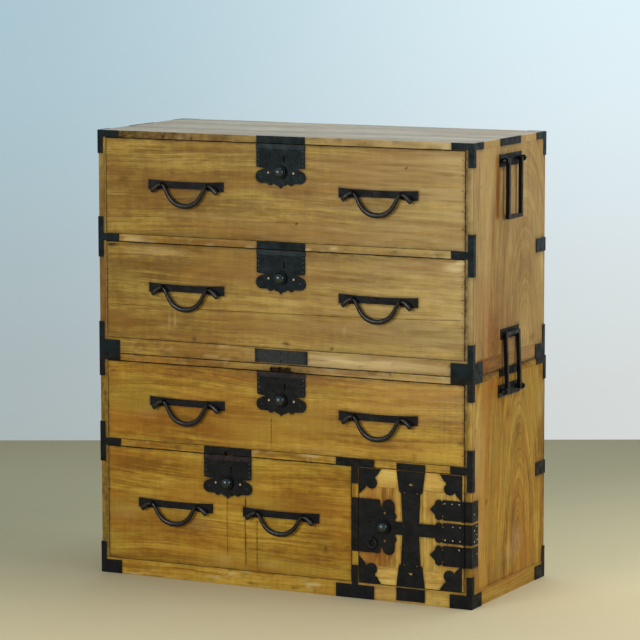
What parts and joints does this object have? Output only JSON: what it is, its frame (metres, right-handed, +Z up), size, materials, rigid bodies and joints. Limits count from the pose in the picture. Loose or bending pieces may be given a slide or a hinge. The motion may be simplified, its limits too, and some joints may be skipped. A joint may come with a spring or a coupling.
{
  "type": "isho clothing chest",
  "caption": "Two-section stacked clothing chest of drawers with iron corner mounts, lock plates, swinging pulls, carrying bails and a small hinged door.",
  "frame": {"origin": "bottom centre of the case, on the face that stands on the floor", "axes": "+Z up, -Y towards the person opening the drawers, +X to that person's right, with the small door"},
  "size_m": [0.941, 0.4128, 0.994],
  "materials": {
    "front_wood": "satin, golden brown, horizontal grain",
    "side_wood": "satin, orange brown, upright grain",
    "top_wood": "weathered grey brown",
    "back_wood": "raw, aged",
    "drawer_wood": "raw, pale",
    "sheet_iron": "black oxide, semi-matt",
    "forged_iron": "black, hand-rubbed"
  },
  "bodies": {
    "lower_case": {"lower_base_frame": "front_wood", "lower_sides": "side_wood", "lower_back_panel": "back_wood", "lower_top_board": "top_wood", "lower_shelf": "front_wood", "lower_divider": "front_wood", "lower_irons": "sheet_iron", "lower_handle_plates": "sheet_iron", "post_hinge_leaves": "sheet_iron", "hinge_pins": "forged_iron"},
    "upper_case": {"upper_base_frame": "front_wood", "upper_sides": "side_wood", "upper_back_panel": "back_wood", "upper_top_board": "top_wood", "upper_shelf": "front_wood", "upper_irons": "sheet_iron", "upper_handle_plates": "sheet_iron"},
    "drawer_1": {"drawer_1_front": "front_wood", "drawer_1_box": "drawer_wood", "drawer_1_lock_plate": "sheet_iron", "drawer_1_pull_plates": "sheet_iron"},
    "drawer_1_knob": {"drawer_1_knob": "forged_iron"},
    "drawer_1_bolt": {"drawer_1_bolt": "forged_iron"},
    "drawer_1_pull_left": {"drawer_1_pull_left": "forged_iron"},
    "drawer_1_pull_right": {"drawer_1_pull_right": "forged_iron"},
    "drawer_2": {"drawer_2_front": "front_wood", "drawer_2_box": "drawer_wood", "drawer_2_lock_plate": "sheet_iron", "drawer_2_pull_plates": "sheet_iron"},
    "drawer_2_knob": {"drawer_2_knob": "forged_iron"},
    "drawer_2_bolt": {"drawer_2_bolt": "forged_iron"},
    "drawer_2_pull_left": {"drawer_2_pull_left": "forged_iron"},
    "drawer_2_pull_right": {"drawer_2_pull_right": "forged_iron"},
    "drawer_3": {"drawer_3_front": "front_wood", "drawer_3_box": "drawer_wood", "drawer_3_lock_plate": "sheet_iron", "drawer_3_pull_plates": "sheet_iron"},
    "drawer_3_knob": {"drawer_3_knob": "forged_iron"},
    "drawer_3_bolt": {"drawer_3_bolt": "forged_iron"},
    "drawer_3_pull_left": {"drawer_3_pull_left": "forged_iron"},
    "drawer_3_pull_right": {"drawer_3_pull_right": "forged_iron"},
    "drawer_4": {"drawer_4_front": "front_wood", "drawer_4_box": "drawer_wood", "drawer_4_lock_plate": "sheet_iron", "drawer_4_pull_plates": "sheet_iron"},
    "drawer_4_knob": {"drawer_4_knob": "forged_iron"},
    "drawer_4_bolt": {"drawer_4_bolt": "forged_iron"},
    "drawer_4_pull_left": {"drawer_4_pull_left": "forged_iron"},
    "drawer_4_pull_right": {"drawer_4_pull_right": "forged_iron"},
    "upper_bail_left": {"upper_bail_left": "forged_iron"},
    "upper_bail_right": {"upper_bail_right": "forged_iron"},
    "lower_bail_left": {"lower_bail_left": "forged_iron"},
    "lower_bail_right": {"lower_bail_right": "forged_iron"},
    "door": {"door_panel": "front_wood", "door_irons": "sheet_iron", "door_lock_plate": "sheet_iron", "door_hinge_straps": "sheet_iron"},
    "door_knob": {"door_knob": "forged_iron"},
    "door_bolt": {"door_bolt": "forged_iron"},
    "door_ring": {"door_ring": "forged_iron"}
  },
  "joints": [
    {"name": "upper_case_lift", "type": "slide", "parent": "lower_case", "child": "upper_case", "axis": [0, 0, 1], "range_m": [0, 0.15]},
    {"name": "drawer_1_slide", "type": "slide", "parent": "upper_case", "child": "drawer_1", "axis": [0, -1, 0], "range_m": [0, 0.3]},
    {"name": "drawer_1_knob_push", "type": "slide", "parent": "drawer_1", "child": "drawer_1_knob", "axis": [0, 1, 0], "range_m": [0, 0.006]},
    {"name": "drawer_1_bolt_throw", "type": "slide", "parent": "drawer_1", "child": "drawer_1_bolt", "axis": [0, 0, 1], "range_m": [0, 0.006]},
    {"name": "drawer_1_pull_left_swing", "type": "hinge", "parent": "drawer_1", "child": "drawer_1_pull_left", "pos_m": [-0.233, -0.2054, 0.8785], "axis": [-1, 0, 0], "range_deg": [0, 170]},
    {"name": "drawer_1_pull_right_swing", "type": "hinge", "parent": "drawer_1", "child": "drawer_1_pull_right", "pos_m": [0.233, -0.2054, 0.8785], "axis": [-1, 0, 0], "range_deg": [0, 170]},
    {"name": "drawer_2_slide", "type": "slide", "parent": "upper_case", "child": "drawer_2", "axis": [0, -1, 0], "range_m": [0, 0.3]},
    {"name": "drawer_2_knob_push", "type": "slide", "parent": "drawer_2", "child": "drawer_2_knob", "axis": [0, 1, 0], "range_m": [0, 0.006]},
    {"name": "drawer_2_bolt_throw", "type": "slide", "parent": "drawer_2", "child": "drawer_2_bolt", "axis": [0, 0, 1], "range_m": [0, 0.006]},
    {"name": "drawer_2_pull_left_swing", "type": "hinge", "parent": "drawer_2", "child": "drawer_2_pull_left", "pos_m": [-0.233, -0.2054, 0.651], "axis": [-1, 0, 0], "range_deg": [0, 170]},
    {"name": "drawer_2_pull_right_swing", "type": "hinge", "parent": "drawer_2", "child": "drawer_2_pull_right", "pos_m": [0.233, -0.2054, 0.651], "axis": [-1, 0, 0], "range_deg": [0, 170]},
    {"name": "drawer_3_slide", "type": "slide", "parent": "lower_case", "child": "drawer_3", "axis": [0, -1, 0], "range_m": [0, 0.3]},
    {"name": "drawer_3_knob_push", "type": "slide", "parent": "drawer_3", "child": "drawer_3_knob", "axis": [0, 1, 0], "range_m": [0, 0.006]},
    {"name": "drawer_3_bolt_throw", "type": "slide", "parent": "drawer_3", "child": "drawer_3_bolt", "axis": [0, 0, 1], "range_m": [0, 0.006]},
    {"name": "drawer_3_pull_left_swing", "type": "hinge", "parent": "drawer_3", "child": "drawer_3_pull_left", "pos_m": [-0.233, -0.2054, 0.3975], "axis": [-1, 0, 0], "range_deg": [0, 170]},
    {"name": "drawer_3_pull_right_swing", "type": "hinge", "parent": "drawer_3", "child": "drawer_3_pull_right", "pos_m": [0.233, -0.2054, 0.3975], "axis": [-1, 0, 0], "range_deg": [0, 170]},
    {"name": "drawer_4_slide", "type": "slide", "parent": "lower_case", "child": "drawer_4", "axis": [0, -1, 0], "range_m": [0, 0.3]},
    {"name": "drawer_4_knob_push", "type": "slide", "parent": "drawer_4", "child": "drawer_4_knob", "axis": [0, 1, 0], "range_m": [0, 0.006]},
    {"name": "drawer_4_bolt_throw", "type": "slide", "parent": "drawer_4", "child": "drawer_4_bolt", "axis": [0, 0, 1], "range_m": [0, 0.006]},
    {"name": "drawer_4_pull_left_swing", "type": "hinge", "parent": "drawer_4", "child": "drawer_4_pull_left", "pos_m": [-0.2637, -0.2054, 0.167], "axis": [-1, 0, 0], "range_deg": [0, 170]},
    {"name": "drawer_4_pull_right_swing", "type": "hinge", "parent": "drawer_4", "child": "drawer_4_pull_right", "pos_m": [-0.0017, -0.2054, 0.167], "axis": [-1, 0, 0], "range_deg": [0, 170]},
    {"name": "upper_bail_left_swing", "type": "hinge", "parent": "upper_case", "child": "upper_bail_left", "pos_m": [-0.4639, -0.003, 0.947], "axis": [0, 1, 0], "range_deg": [0, 178]},
    {"name": "upper_bail_right_swing", "type": "hinge", "parent": "upper_case", "child": "upper_bail_right", "pos_m": [0.4639, -0.003, 0.947], "axis": [0, -1, 0], "range_deg": [0, 178]},
    {"name": "lower_bail_left_swing", "type": "hinge", "parent": "lower_case", "child": "lower_bail_left", "pos_m": [-0.4639, -0.003, 0.451], "axis": [0, -1, 0], "range_deg": [0, 180]},
    {"name": "lower_bail_right_swing", "type": "hinge", "parent": "lower_case", "child": "lower_bail_right", "pos_m": [0.4639, -0.003, 0.451], "axis": [0, 1, 0], "range_deg": [0, 180]},
    {"name": "door_swing", "type": "hinge", "parent": "lower_case", "child": "door", "pos_m": [0.4349, -0.2004, 0.1625], "axis": [0, 0, 1], "range_deg": [0, 165]},
    {"name": "door_knob_push", "type": "slide", "parent": "door", "child": "door_knob", "axis": [0, 1, 0], "range_m": [0, 0.006]},
    {"name": "door_bolt_throw", "type": "slide", "parent": "door", "child": "door_bolt", "axis": [-1, 0, 0], "range_m": [0, 0.006]},
    {"name": "door_ring_swing", "type": "hinge", "parent": "door", "child": "door_ring", "pos_m": [0.222, -0.2028, 0.1355], "axis": [-1, 0, 0], "range_deg": [0, 170]}
  ],
  "couplings": [
    {"joint": "drawer_1_bolt_throw", "follows": "drawer_1_knob_push", "ratio": 1},
    {"joint": "drawer_2_bolt_throw", "follows": "drawer_2_knob_push", "ratio": 1},
    {"joint": "drawer_3_bolt_throw", "follows": "drawer_3_knob_push", "ratio": 1},
    {"joint": "drawer_4_bolt_throw", "follows": "drawer_4_knob_push", "ratio": 1},
    {"joint": "door_bolt_throw", "follows": "door_knob_push", "ratio": 1}
  ]
}
